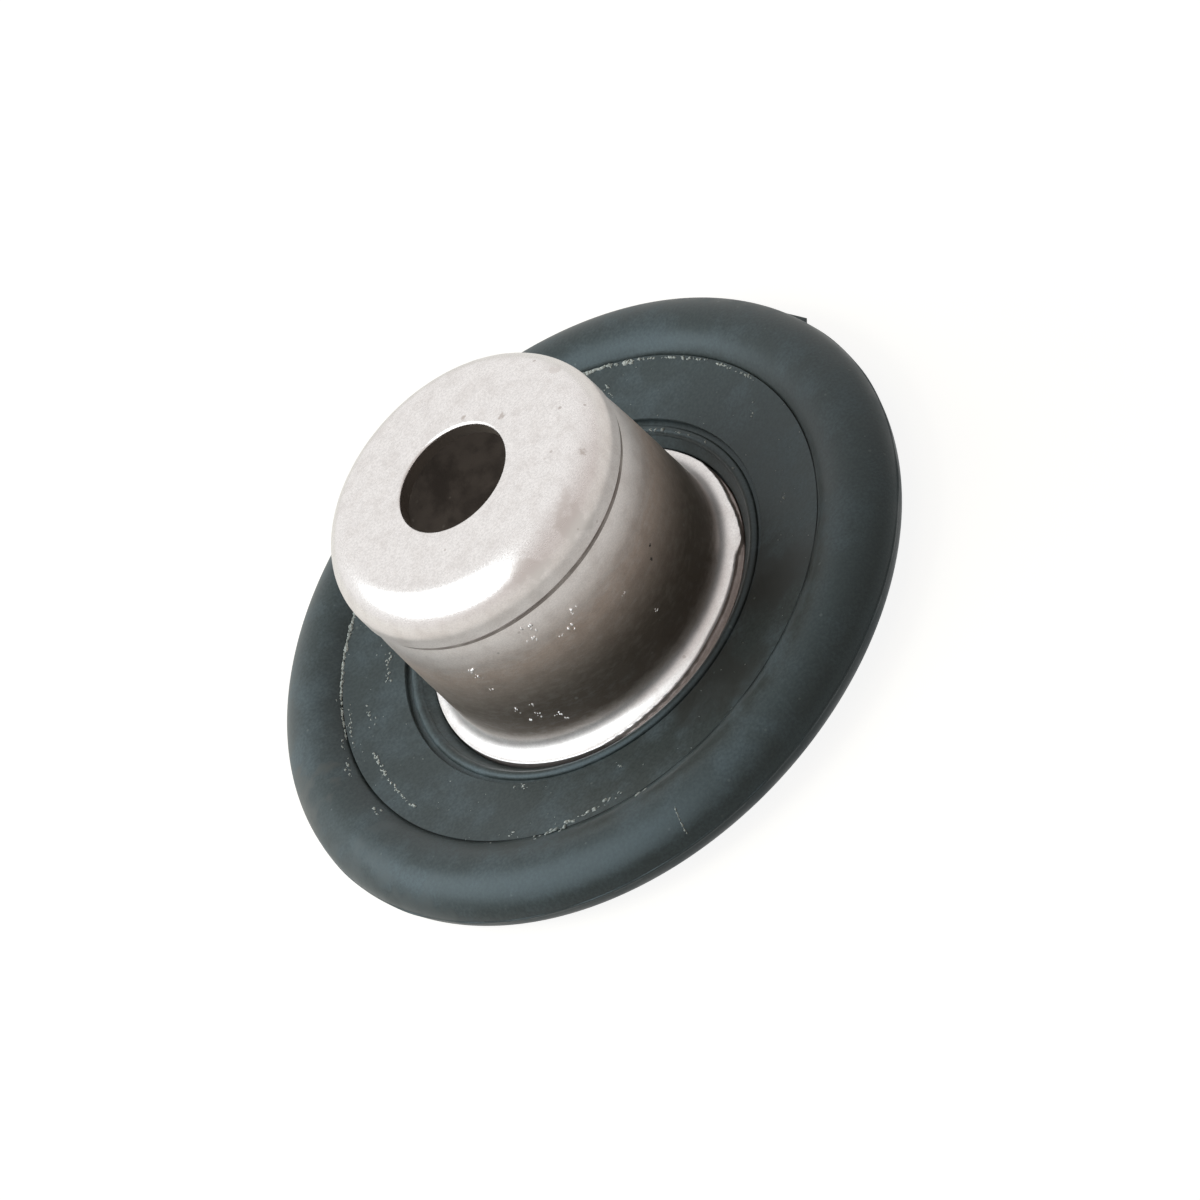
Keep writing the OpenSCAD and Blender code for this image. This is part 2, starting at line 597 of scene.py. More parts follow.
@dataclass(frozen=True)
class Finish:
    """A surface finish that a material is made from.

    Attributes:
        name: Name of the material.
        base: Main colour.
        patch: Colour of the blotches on it.
        speck: Colour of the specks on it.
        smooth: Roughness where it is smoothest.
        rough: Roughness where it is dullest.
        metallic: 1 for bare metal, 0 otherwise.
        gloss: Specular level of the bare surface.
        gloss_tint: Colour of its highlights.
        grain_waves: Grain waves per millimetre.
        grain_stretch: Stretch of the grain along the axis.
        relief: Depth of the grain's relief in metres.
        patch_waves: Blotch waves per millimetre.
        patch_share: Strength of the blotches.
        speck_cells: Speck cells per millimetre.
        speck_share: Share of the cells with a speck.
        mottle: Share of the grain that shows as lighter and darker colour.
        films_and_shade: Tinted bands round the part, both real films and painted shade, in the
            order in which they are laid.
        satin: Roughness of a duller band.
        satin_band: Where that band is, or None.
        stains_and_shade: Single spots on the surface, both real stains and painted shade.
    """

    name: str
    base: Colour
    patch: Colour
    speck: Colour
    smooth: float
    rough: float
    metallic: float = 0.0
    gloss: float = 0.5
    gloss_tint: Colour = (1.0, 1.0, 1.0)
    grain_waves: float = 6.0
    grain_stretch: float = 1.0
    relief: float = 0.01 * MM
    patch_waves: float = 0.3
    patch_share: float = 1.0
    speck_cells: float = 1.2
    speck_share: float = 0.1
    mottle: float = 0.0
    films_and_shade: tuple[FilmAndShade, ...] = ()
    satin: float = 0.5
    satin_band: HeightBand | None = None
    stains_and_shade: tuple[StainAndShadeSpot, ...] = ()

    def make(self, shelf: EffectShelf) -> Material:
        """Builds the material.

        Args:
            shelf: The shared effects.

        Returns:
            The material.
        """
        material = bpy.data.materials.new(self.name)
        material.use_nodes = True
        material.diffuse_color = (*self.base, 1.0)
        bench = NodeBench(material.node_tree)
        grain = bench.group(shelf.grain, Waves=self.grain_waves, Axial_Stretch=self.grain_stretch,
                            Contrast=GRAIN_CONTRAST)
        start, full = PATCH_LEVELS
        patches = bench.group(shelf.blotches, Waves=self.patch_waves, Start=start, Full=full)
        specks = bench.group(shelf.specks, Cells=self.speck_cells, Size=SPECK_SIZE,
                             Share=self.speck_share)
        patched = bench.maths("MULTIPLY", patches, self.patch_share)
        colour = bench.blend(patched, self.base, self.patch)
        if self.mottle:
            shade = bench.graded(grain, *GRAIN_SPAN, 1.0 - self.mottle, 1.0 + self.mottle)
            mixed = bench.add("ShaderNodeVectorMath", {0: colour, "Scale": shade},
                              operation="SCALE")
            colour = mixed.outputs[0]
        uneven = bench.maths("MULTIPLY_ADD", patches, 0.5, bench.maths("MULTIPLY", grain, 0.5))
        roughness = bench.graded(uneven, *ROUGH_SPAN, self.smooth, self.rough)
        metallic: object = self.metallic
        # Tinted bands, real films and painted shade alike, multiply the colour
        for film_and_shade in self.films_and_shade:
            share = film_and_shade.share(bench, shelf)
            colour = bench.blend(share, colour, film_and_shade.tone, "MULTIPLY")
            metallic = bench.graded(share, 0.0, 1.0, metallic, film_and_shade.metal)
            roughness = bench.graded(share, 0.0, 1.0, roughness, film_and_shade.rough)
        # Spots of colour, real stains and patches of painted shade alike
        for stain_and_shade in self.stains_and_shade:
            colour = bench.blend(stain_and_shade.mask(bench, shelf), colour, stain_and_shade.tone)
        colour = bench.blend(specks, colour, self.speck)
        if self.satin_band:
            dull = self.satin_band.mask(bench, shelf)
            roughness = bench.graded(dull, 0.0, 1.0, roughness, self.satin)
        bump = bench.add("ShaderNodeBump",
                         {"Strength": 1.0, "Distance": self.relief, "Height": grain})
        shader = bench.add("ShaderNodeBsdfPrincipled", {
            "Base Color": colour, "Metallic": metallic, "Roughness": roughness,
            "Specular IOR Level": self.gloss, "Specular Tint": (*self.gloss_tint, 1.0),
            "Normal": bump.outputs[0]})
        bench.add("ShaderNodeOutputMaterial", {"Surface": shader.outputs[0]})
        return material


PIT = (0.60, 0.55, 0.52)
SMEAR = (0.74, 0.70, 0.675)
BLOOM = (0.085, 0.10, 0.10)
TAN = (0.092, 0.098, 0.092)
# Painted shadow: dark patches on the rubber web, in front of and right of the cup, where its shadow
# falls
CUP_SHADOW_PAINT = (0.044, 0.048, 0.044)
SATIN_STEEL = Finish(
    name="satin_steel",
    base=(0.87, 0.845, 0.83),
    patch=(0.77, 0.735, 0.715),
    speck=(0.52, 0.47, 0.445),
    smooth=0.22,
    rough=0.32,
    metallic=1.0,
    grain_waves=5.0,
    grain_stretch=3.0,
    relief=0.002 * MM,
    patch_waves=0.5,
    patch_share=0.8,
    speck_cells=1.1,
    speck_share=0.03,
    mottle=0.09,
    films_and_shade=(
        FilmAndShade((0.98, 0.955, 0.945), 1.0, 0.40, 0.1, HeightBand(top=(25.2, 22.6), foot=(3.2, 4.4))),
        # Painted shade: the next two bands darken the wall from below the draw line down to the
        # flange, warm brown and then grey, standing in for its shading and dark reflections
        FilmAndShade((0.80, 0.69, 0.61), 0.85, 0.44, 0.25, HeightBand(top=(19.6, 14.0), foot=(3.3, 5.6))),
        FilmAndShade((0.40, 0.40, 0.39), 0.5, 0.42, 0.14, HeightBand(top=(15.5, 7.5), foot=(3.3, 5.6))),
        FilmAndShade((0.52, 0.45, 0.43), 0.3, 0.5, 0.2, HeightBand(top=(2.38, 2.28), foot=(-1.0, 0.0))),
    ),
    satin=0.45,
    satin_band=HeightBand(top=(5.4, 3.9), foot=(-1.0, 0.0)),
    stains_and_shade=(
        StainAndShadeSpot(-96.0, 15.2, 23.9, 2.6, SMEAR, 0.9),
        StainAndShadeSpot(-72.0, 15.4, 23.6, 2.4, SMEAR, 0.9),
        StainAndShadeSpot(6.0, 7.6, 25.9, 0.5, PIT),
        StainAndShadeSpot(44.0, 6.9, 25.9, 0.4, PIT),
        StainAndShadeSpot(-46.0, 14.6, 24.9, 0.45, PIT),
        StainAndShadeSpot(2.0, 14.3, 25.1, 0.9, SMEAR),
        StainAndShadeSpot(-59.5, 16.2, 13.8, 0.22, (0.05, 0.045, 0.04)),
        StainAndShadeSpot(-63.0, 16.2, 12.9, 0.22, (0.12, 0.11, 0.10)),
    ),
)
# Painted shade: dark, dull steel in the draw line's groove and on a thin strip of wall below it,
# for the shade in and under the line
LINE_SHADE = Finish(
    name="draw_line_shade",
    base=(0.34, 0.30, 0.28),
    patch=(0.52, 0.475, 0.45),
    speck=(0.2, 0.175, 0.16),
    smooth=0.4,
    rough=0.55,
    metallic=0.6,
    grain_waves=6.0,
    patch_waves=0.35,
)
# Dark brown inside and hole wall: partly the inside's own darker finish, partly painted shade that
# keeps the lit hole wall dark
DARK_INSIDE = Finish(
    name="dark_inside",
    base=(0.165, 0.135, 0.11),
    patch=(0.14, 0.115, 0.095),
    speck=(0.26, 0.23, 0.19),
    smooth=0.55,
    rough=0.7,
    metallic=0.6,
    relief=0.004 * MM,
)
MOULDED_RUBBER = Finish(
    name="moulded_rubber",
    base=(0.054, 0.067, 0.065),
    patch=(0.086, 0.110, 0.118),
    speck=(0.15, 0.17, 0.168),
    smooth=0.36,
    rough=0.52,
    gloss=0.48,
    gloss_tint=(0.74, 0.90, 1.0),
    grain_waves=3.2,
    relief=0.004 * MM,
    patch_waves=0.2,
    patch_share=0.9,
    speck_cells=1.4,
    speck_share=0.04,
    mottle=0.2,
    stains_and_shade=(
        StainAndShadeSpot(-170.0, 34.6, 3.2, 5.0, BLOOM, 0.8),
        StainAndShadeSpot(-155.0, 34.9, 2.6, 4.0, BLOOM, 0.8),
        StainAndShadeSpot(168.0, 34.8, 3.0, 4.5, TAN, 0.8),
        # Painted shadow of the cup on the web, in front and to the right
        StainAndShadeSpot(-82.0, 23.5, 4.0, 6.5, CUP_SHADOW_PAINT, 0.4),
        StainAndShadeSpot(-52.0, 23.0, 4.0, 6.0, CUP_SHADOW_PAINT, 0.4),
    ),
)
DEEP_CREASE = Finish(
    name="deep_crease",
    base=(0.062, 0.082, 0.086),
    patch=(0.05, 0.066, 0.068),
    speck=(0.10, 0.12, 0.118),
    smooth=0.5,
    rough=0.65,
    gloss=0.3,
    grain_waves=5.0,
    relief=0.004 * MM,
    films_and_shade=(
        # Painted shade: near black at the bottom of the crease
        FilmAndShade((0.12, 0.11, 0.10), 0.0, 0.8, 0.1, HeightBand(top=(4.66, 4.5), foot=(-1.0, 0.0))),
    ),
)
PALE_FLASH = Finish(
    name="pale_flash",
    base=(0.52, 0.56, 0.54),
    patch=(0.74, 0.77, 0.74),
    speck=(0.2, 0.22, 0.22),
    smooth=0.6,
    rough=0.8,
    gloss=0.3,
    grain_waves=9.0,
    relief=0.02 * MM,
    patch_waves=0.8,
)
BRIGHT_NICK = Finish(
    name="bright_nick",
    base=(0.96, 0.95, 0.94),
    patch=(0.90, 0.88, 0.87),
    speck=(0.7, 0.68, 0.66),
    smooth=0.35,
    rough=0.5,
    metallic=0.7,
    grain_waves=9.0,
    relief=0.01 * MM,
)


def dress(obj: Piece, slot: str, materials: list[Material], *nodes: str) -> None:
    """Gives a piece its materials and its body, and lets it stand for CAD nodes.

    Args:
        obj: The piece.
        slot: The record's material slot; not used.
        materials: Materials in the order of the skins.
        *nodes: CAD nodes that it stands for.
    """
    for material in materials:
        obj.data.materials.append(material)
    if nodes:
        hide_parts(*nodes)
    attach(obj, BODY)
    LOG.info("%s: %d faces", obj.name, len(obj.data.polygons))


# Waves of the wall's faint rings: radians per millimetre of height, phase and share
WALL_RINGS = ((1.9, 0.0, 0.6), (3.7, 1.0, 0.4))
# Angle, and width in millimetres to which the flange's edge is rolled down there
EDGE_ROLL = ((-118.0, 0.0), (-100.0, 0.4), (-70.0, 0.85), (-40.0, 0.7), (-34.5, 0.05),
             (-16.0, 0.4), (4.0, 0.0))
# Angle, and depth in millimetres by which the rubber stands lower round the flange there
POCKET_DROP = ((-180.0, 0.3), (-150.0, 0.3), (-125.0, 0.15), (-95.0, 0.0), (150.0, 0.0),
               (180.0, 0.3))


@dataclass
class DrawnCup:
    """The deep-drawn steel cup with its crown, rod hole, draw line and flange.

    Attributes:
        flange_r: Radius of the flange's edge.
        seat_z: Height of the flange's underside.
        crown_z: Height of the crown's top.
        hole_r: Radius of the rod hole.
        flange_reach: Distance from the wall's foot to the flange's edge.
        draft: Angle in degrees at which the wall leans in towards the crown.
        sheet: Thickness of the sheet.
        crown_edge_r: Outside radius where the wall turns into the crown.
        bend_r: Radius of the bend into the flange, on the upper side.
        hole_edge_r: Rounding of the hole's upper edge.
        flange_edge_r: Rounding of the flange's upper edge.
        line_drop: Distance of the draw line below the crown's top.
        line_w: Width of the draw line.
        line_fill: Share of the draw line's depth that is worn or filled.
        line_ragged: Unevenness of that share.
        line_most: Largest share.
        line_waver: Height by which the draw line wavers.
        waver_reach: Height over which the wall wavers with it.
        line_shade_drop: Height of the strip of painted shade on the wall below the draw line.
        waist: Depth of the slight waist below the draw line.
        waist_reach: Height over which the waist fades out.
        roll_w: Width of the step where the flange's edge is rolled down.
        roll_drop: Height of that step.
        wall_depth: Depth to which a point counts as on the outside.
        ring_depth: Depth of the faint rings on the wall.
        ring_fade: Heights above the flange between which the rings set in.
        swell: Share of the uneven swell between the rings.
        swell_lean: Turn of the swell in radians per metre of height.
        last_step: Length of the step that closes the outline.
        segments: Steps round the axis.
    """

    flange_r: float
    seat_z: float
    crown_z: float
    hole_r: float
    flange_reach: float = 1.8 * MM
    draft: float = 1.5
    sheet: float = 1.6 * MM
    crown_edge_r: float = 3.8 * MM
    bend_r: float = 1.65 * MM
    hole_edge_r: float = 0.3 * MM
    flange_edge_r: float = 0.12 * MM
    line_drop: float = 5.3 * MM
    line_w: float = 0.44 * MM
    line_fill: float = 0.55
    line_ragged: float = 0.25
    line_most: float = 0.9
    line_waver: float = 0.05 * MM
    waver_reach: float = 1.2 * MM
    line_shade_drop: float = 0.28 * MM
    waist: float = 0.30 * MM
    waist_reach: float = 2.4 * MM
    roll_w: float = 0.2 * MM
    roll_drop: float = 0.42 * MM
    wall_depth: float = 0.3 * MM
    ring_depth: float = 0.008 * MM
    ring_fade: Point = (2.0 * MM, 5.0 * MM)
    swell: float = 0.6
    swell_lean: float = 60.0
    last_step: float = 0.5 * MM
    segments: int = 400

    @classmethod
    def from_frame(cls) -> "DrawnCup":
        """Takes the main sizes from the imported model."""
        low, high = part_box("steel_cup")
        return cls(high.x, low.z, high.z, mount_radius("rod_hole"))

    @property
    def flange_z(self) -> float:
        """Height of the flange's upper face."""
        return self.seat_z + self.sheet

    @property
    def line_z(self) -> float:
        """Height of the draw line."""
        return self.crown_z - self.line_drop

    @property
    def lean(self) -> float:
        """Angle in radians at which the wall leans in."""
        return math.radians(self.draft)

    @property
    def foot_r(self) -> float:
        """Outside radius of the wall's foot."""
        return self.flange_r - self.flange_reach

    @property
    def bend_mid(self) -> Point:
        """Radius and height of the centre of the bend into the flange."""
        return self.foot_r + self.bend_r * math.cos(self.lean), self.flange_z + self.bend_r

    @property
    def crown_mid(self) -> Point:
        """Centre of the rounding into the crown.

        Returns:
            Its radius and height.
        """
        mid_z = self.crown_z - self.crown_edge_r
        head_r = self.wall_r(mid_z + self.crown_edge_r * math.sin(self.lean))
        return head_r - self.crown_edge_r * math.cos(self.lean), mid_z

    def wall_r(self, z: float | Grid) -> float | Grid:
        """Outside radius of the leaning wall at a height."""
        foot_z = self.bend_mid[1] - self.bend_r * math.sin(self.lean)
        return self.foot_r - (z - foot_z) * math.tan(self.lean)

    def waist_at(self, z: float | Grid) -> Grid:
        """Depth of the waist at a height of the wall."""
        fade = np.exp(-np.clip(self.line_z - z, 0.0, None) / self.waist_reach)
        return self.waist * fade * smooth_step(self.line_w / 3, -self.line_w / 3, z - self.line_z)

    def outside_r(self, z: float) -> float:
        """Radius of the outside at a height, on the wall or on the crown's rounding.

        Args:
            z: The height.

        Returns:
            The radius.
        """
        mid_r, mid_z = self.crown_mid
        if z <= mid_z:
            return self.wall_r(z) - float(self.waist_at(z))
        return mid_r + math.sqrt(max(0.0, self.crown_edge_r ** 2 - (z - mid_z) ** 2))

    def section(self) -> HalfSection:
        """Outline of the sheet, from the hole's lower edge over the outside and back inside.

        Returns:
            The half section.
        """
        fine, lean = 0.05 * MM, self.draft
        crown_mid, bend_mid = self.crown_mid, self.bend_mid
        inner_r, inner_z = self.crown_edge_r - self.sheet, self.crown_z - self.sheet
        hole_mid = (self.hole_r + self.hole_edge_r, self.crown_z - self.hole_edge_r)
        edge_mid = (self.flange_r - self.flange_edge_r, self.flange_z - self.flange_edge_r)
        line_mid, line_half = (self.wall_r(self.line_z), self.line_z), self.line_w / 2
        # The draw line's painted shade reaches a little way down the wall below it
        shade_foot_z = self.line_z - line_half - self.line_shade_drop
        walk = HalfSection(pitch=0.42 * MM)
        walk.add(self.hole_r, inner_z, Skin.INSIDE)
        walk.line(self.hole_r, hole_mid[1], Skin.INSIDE)
        walk.arc(hole_mid, self.hole_edge_r, 180, 90, pitch=fine)
        walk.line(crown_mid[0], self.crown_z)
        walk.arc(crown_mid, self.crown_edge_r, 90, lean, pitch=0.24 * MM)
        walk.line(*on_circle(line_mid, line_half, 90 + lean), pitch=0.2 * MM)
        walk.arc(line_mid, line_half, 90 + lean, 270 + lean, Skin.GROOVE, pitch=fine)
        walk.line(self.wall_r(shade_foot_z), shade_foot_z, Skin.GROOVE, pitch=fine)
        walk.line(*on_circle(bend_mid, self.bend_r, 180 + lean))
        walk.arc(bend_mid, self.bend_r, 180 + lean, 270, pitch=0.08 * MM)
        walk.line(edge_mid[0], self.flange_z, pitch=0.08 * MM)
        walk.arc(edge_mid, self.flange_edge_r, 90, 0, pitch=fine)
        walk.line(self.flange_r, self.seat_z, pitch=0.3 * MM)
        walk.line(bend_mid[0], self.seat_z)
        walk.arc(bend_mid, self.bend_r + self.sheet, 270, 180 + lean, Skin.INSIDE)
        walk.line(*on_circle(crown_mid, inner_r, lean), Skin.INSIDE, pitch=1.2 * MM)
        walk.arc(crown_mid, inner_r, lean, 90, Skin.INSIDE)
        walk.line(self.hole_r + self.last_step, inner_z, Skin.INSIDE, pitch=1.0 * MM)
        return walk

    def shape(self, azimuth: Grid, r: Grid, z: Grid) -> Grids:
        """Unevenness of the sheet: faint rings, a wavering draw line, a waist and a rolled edge.

        Args:
            azimuth: Angles in radians.
            r: Radii.
            z: Heights.

        Returns:
            The uneven radii and heights.
        """
        outside = r > self.wall_r(self.crown_z) - self.wall_depth
        in_line = (np.abs(z - self.line_z) < self.line_w / 2) * outside
        dip = np.clip(self.wall_r(z) - r, 0.0, None)
        fill = self.line_fill + self.line_ragged * wobble(azimuth, LINE_WEAR)
        r = r + in_line * dip * np.clip(fill, 0.0, self.line_most)
        near_line = np.exp(-((z - self.line_z) / self.waver_reach) ** 2)
        z = z + near_line * self.line_waver * wobble(azimuth, LINE_WAVER)
        fade = (self.flange_z + height for height in self.ring_fade)
        outer_wall = outside * smooth_step(*fade, z)
        rings = sum(share * np.sin(z / MM * waves + phase) for waves, phase, share in WALL_RINGS)
        swell = self.swell * wobble(azimuth + z * self.swell_lean, WALL_SWELL)
        r = r + outer_wall * self.ring_depth * (rings + swell)
        r = r - outer_wall * self.waist_at(z)
        edge_start = self.flange_r - self.flange_edge_r
        face_end = edge_start - round_profile(EDGE_ROLL, azimuth)
        past = np.clip((r - face_end) / self.roll_w, 0.0, 1.0) * (face_end < edge_start)
        edge_foot = self.flange_z - EDGE_SLACK * self.flange_edge_r
        on_face = (r > self.foot_r) * (z < self.bend_mid[1]) * (z > edge_foot)
        z = z - on_face * past * self.roll_drop
        return r, z

    def build(self, steel: Material, inside: Material, groove: Material) -> Piece:
        """Makes the cup and dresses it.

        Args:
            steel: Material of the outside.
            inside: Material of the inside and the hole's wall, partly its own darker finish and
                partly painted shade.
            groove: Material in the draw line, dark as painted shade.

        Returns:
            The piece.
        """
        cup = self.section().revolve("drawn_cup", self.segments, self.shape)
        dress(cup, "cup_steel", [steel, inside, groove], "steel_cup")
        return cup


@dataclass
class MouldedRing:
    """The rubber ring: bead, crease, dished web, groove, lip and flange pocket.

    Attributes:
        outer_r: Radius over the outside of the bead.
        bead_z: Height of the bead's crest.
        flange_r: Radius of the flange's edge in its pocket.
        seat_z: Height of the seat under the flange.
        web_outer_z: Height of the web beside the bead.
        web_inner_z: Height of the web at the groove.
        seat_w: Width of the seat under the flange's edge.
        bead_w: Width of the bead.
        bead_mid_z: Height of the bead's middle, where the mould parts.
        side_r: Radius of the bead's round sides.
        crease_w: Width of the crease.
        flange_gap: Clearance round the flange's edge.
        flange_sink: Depth to which the flange's edge is sunk.
        lip_reach: Distance from the pocket to the middle of the lip.
        lip_r: Radius of the lip's crest.
        lip_drop: Drop of the lip's crest below the web.
        groove_w: Width of the groove.
        groove_depth: Depth of the groove.
        fin: Usual height of the flash at the parting line.
        fin_half: Half thickness of that flash.
        fin_usual: Usual share of its height that stands.
        fin_ragged: Unevenness of that share.
        fin_limits: Smallest and largest share.
        tag: Height of the torn flash tag.
        tag_start: Angle at which the tag rises.
        tag_end: Angle at which it is torn off.
        tag_curve: Power of its rise.
        crease_turn: Angle past +Y at which the crease lies most open.
        crease_fill: Share of the crease's depth that is filled where it is shallow.
        crease_open: Share by which it is deeper where it lies open.
        shallow_reach: Sines of the angle between which it turns shallow.
        open_reach: Sines of the angle between which it opens.
        crease_waver: Depth by which the web's edge wavers at the crease.
        waver_reach: Distance over which it wavers.
        ragged_limits: Limits of that unevenness.
        bead_waver: Depth by which the bead wavers.
        segments: Steps round the axis.
    """

    outer_r: float
    bead_z: float
    flange_r: float
    seat_z: float
    web_outer_z: float = 4.65 * MM
    web_inner_z: float = 3.5 * MM
    seat_w: float = 1.2 * MM
    bead_w: float = 8.4 * MM
    bead_mid_z: float = 2.55 * MM
    side_r: float = 2.8 * MM
    crease_w: float = 0.70 * MM
    flange_gap: float = 0.2 * MM
    flange_sink: float = 1.35 * MM
    lip_reach: float = 1.5 * MM
    lip_r: float = 0.55 * MM
    lip_drop: float = 0.1 * MM
    groove_w: float = 0.5 * MM
    groove_depth: float = 0.5 * MM
    fin: float = 0.10 * MM
    fin_half: float = 0.07 * MM
    fin_usual: float = 0.75
    fin_ragged: float = 0.45
    fin_limits: Point = (0.15, 1.6)
    tag: float = 0.5 * MM
    tag_start: float = 13.5
    tag_end: float = 7.2
    tag_curve: float = 1.4
    crease_turn: float = 8.0
    crease_fill: float = 0.72
    crease_open: float = 0.7
    shallow_reach: Point = (0.15, 0.75)
    open_reach: Point = (-0.1, 0.5)
    crease_waver: float = 0.06 * MM
    waver_reach: float = 0.5 * MM
    ragged_limits: Point = (-0.6, 1.2)
    bead_waver: float = 0.03 * MM
    segments: int = 512

    @classmethod
    def from_frame(cls) -> "MouldedRing":
        """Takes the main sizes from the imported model.

        Returns:
            The ring.
        """
        _, ring_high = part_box("rubber_ring")
        cup_low, cup_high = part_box("steel_cup")
        return cls(ring_high.x, ring_high.z, cup_high.x, cup_low.z)

    @property
    def bead_mid_r(self) -> float:
        """Radius of the bead's middle."""
        return self.outer_r - self.bead_w / 2

    @property
    def side_offset(self) -> float:
        """Distance from the bead's middle to the centres of its sides."""
        return self.bead_w / 2 - self.side_r

    @property
    def crown_r(self) -> float:
        """Radius of the bead's flatter crown, which meets both sides in line."""
        rise = self.bead_z - self.bead_mid_z
        return (self.side_offset ** 2 + rise ** 2 - self.side_r ** 2) / (2 * (rise - self.side_r))

    @property
    def crown_mid_z(self) -> float:
        """Height of the crown arc's centre."""
        return self.bead_z - self.crown_r

    @property
    def crown_lean(self) -> float:
        """Angle from upright, in degrees, at which the crown meets the sides."""
        return math.degrees(math.atan2(self.side_offset, self.bead_mid_z - self.crown_mid_z))

    @property
    def crease_r(self) -> float:
        """Radius of the crease between the bead and the web."""
        rise = self.web_outer_z - self.bead_mid_z
        return self.bead_mid_r - self.side_offset - math.sqrt(self.side_r ** 2 - rise ** 2)

    @property
    def pocket_r(self) -> float:
        """Radius of the pocket round the flange."""
        return self.flange_r + self.flange_gap

    @property
    def lip_mid_r(self) -> float:
        """Radius of the lip's crest."""
        return self.pocket_r + self.lip_reach

    @property
    def groove_outer_r(self) -> float:
        """Radius of the groove's outer wall."""
        return self.lip_mid_r + self.lip_r + self.groove_w

    def web_z(self, r: float | Grid) -> float | Grid:
        """Height of the web's upper face at a radius."""
        share = (r - self.groove_outer_r) / (self.crease_r - self.groove_outer_r)
        return self.web_inner_z + share * (self.web_outer_z - self.web_inner_z)

    @property
    def web_lean(self) -> float:
        """Angle of the web's normal from outwards, in degrees."""
        slope = (self.web_outer_z - self.web_inner_z) / (self.crease_r - self.groove_outer_r)
        return 90.0 + math.degrees(math.atan(slope))

    def bead_at(self, r: float) -> Point:
        """Place on the bead's upper face.

        Args:
            r: Its radius.

        Returns:
            Its height, and the angle of its normal from outwards in degrees.
        """
        off = r - self.bead_mid_r
        if abs(off) <= self.crown_r * math.sin(math.radians(self.crown_lean)):
            lean = math.acos(off / self.crown_r)
            return self.crown_mid_z + self.crown_r * math.sin(lean), math.degrees(lean)
        side = (off - math.copysign(self.side_offset, off)) / self.side_r
        lean = math.acos(max(-1.0, min(1.0, side)))
        return self.bead_mid_z + self.side_r * math.sin(lean), math.degrees(lean)

    def section(self) -> HalfSection:
        """Outline of the rubber, from its underside's inner edge outwards, over the top and back.

        Returns:
            The half section.
        """
        fine = 0.06 * MM
        outer_mid = (self.bead_mid_r + self.side_offset, self.bead_mid_z)
        inner_mid = (self.bead_mid_r - self.side_offset, self.bead_mid_z)
        crown_mid = (self.bead_mid_r, self.crown_mid_z)
        under = -math.degrees(math.asin(self.bead_mid_z / self.side_r))
        fin_deg = math.degrees(2.2 * self.fin_half / self.side_r)
        top_deg = 90.0 - self.crown_lean
        crease_half = self.crease_w / 2
        cut = math.degrees(2.0 * math.asin(crease_half / 2 / self.side_r))
        crease_lean = math.asin((self.web_outer_z - self.bead_mid_z) / self.side_r)
        foot_deg = 180.0 - math.degrees(crease_lean) - cut
        foot = on_circle(inner_mid, self.side_r, foot_deg)
        crease_mid = (self.crease_r, self.web_outer_z)
        crease_from = math.degrees(math.atan2(foot[1] - crease_mid[1], foot[0] - crease_mid[0]))
        crease_to = -180.0 + (self.web_lean - 90.0)
        lip_mid = (self.lip_mid_r, self.web_inner_z - self.lip_drop - self.lip_r)
        groove_z = self.web_inner_z - self.groove_depth
        lip_out = math.degrees(math.asin((groove_z - lip_mid[1]) / self.lip_r))
        ledge_z = self.seat_z + self.flange_sink
        bore_r = self.flange_r - self.seat_w
        walk = HalfSection(pitch=0.35 * MM)
        walk.add(bore_r, 0.0, Skin.OUTSIDE)
        walk.line(on_circle(outer_mid, self.side_r, under)[0], 0.0, pitch=1.6 * MM)
        walk.arc(outer_mid, self.side_r, under, -fin_deg, pitch=0.2 * MM)
        walk.arc(outer_mid, self.side_r, -fin_deg, fin_deg, pitch=fine / 2)
        walk.arc(outer_mid, self.side_r, fin_deg, top_deg, pitch=0.2 * MM)
        walk.arc(crown_mid, self.crown_r, top_deg, 180.0 - top_deg, pitch=0.2 * MM)
        walk.arc(inner_mid, self.side_r, 180.0 - top_deg, foot_deg, pitch=0.2 * MM)
        walk.arc(crease_mid, crease_half, crease_from, crease_to, Skin.GROOVE, pitch=fine)
        walk.line(self.groove_outer_r + fine, self.web_z(self.groove_outer_r + fine))
        walk.line(self.groove_outer_r, self.web_inner_z - fine, pitch=fine)
        walk.line(self.groove_outer_r, groove_z, pitch=0.12 * MM)
        walk.line(on_circle(lip_mid, self.lip_r, lip_out)[0], groove_z, pitch=0.12 * MM)
        walk.arc(lip_mid, self.lip_r, lip_out, 182.0, pitch=fine)
        walk.line(self.pocket_r, ledge_z, pitch=0.2 * MM)
        walk.line(self.pocket_r, self.seat_z, pitch=0.3 * MM)
        walk.line(bore_r, self.seat_z, pitch=0.6 * MM)
        walk.line(bore_r, fine, pitch=0.6 * MM)
        return walk

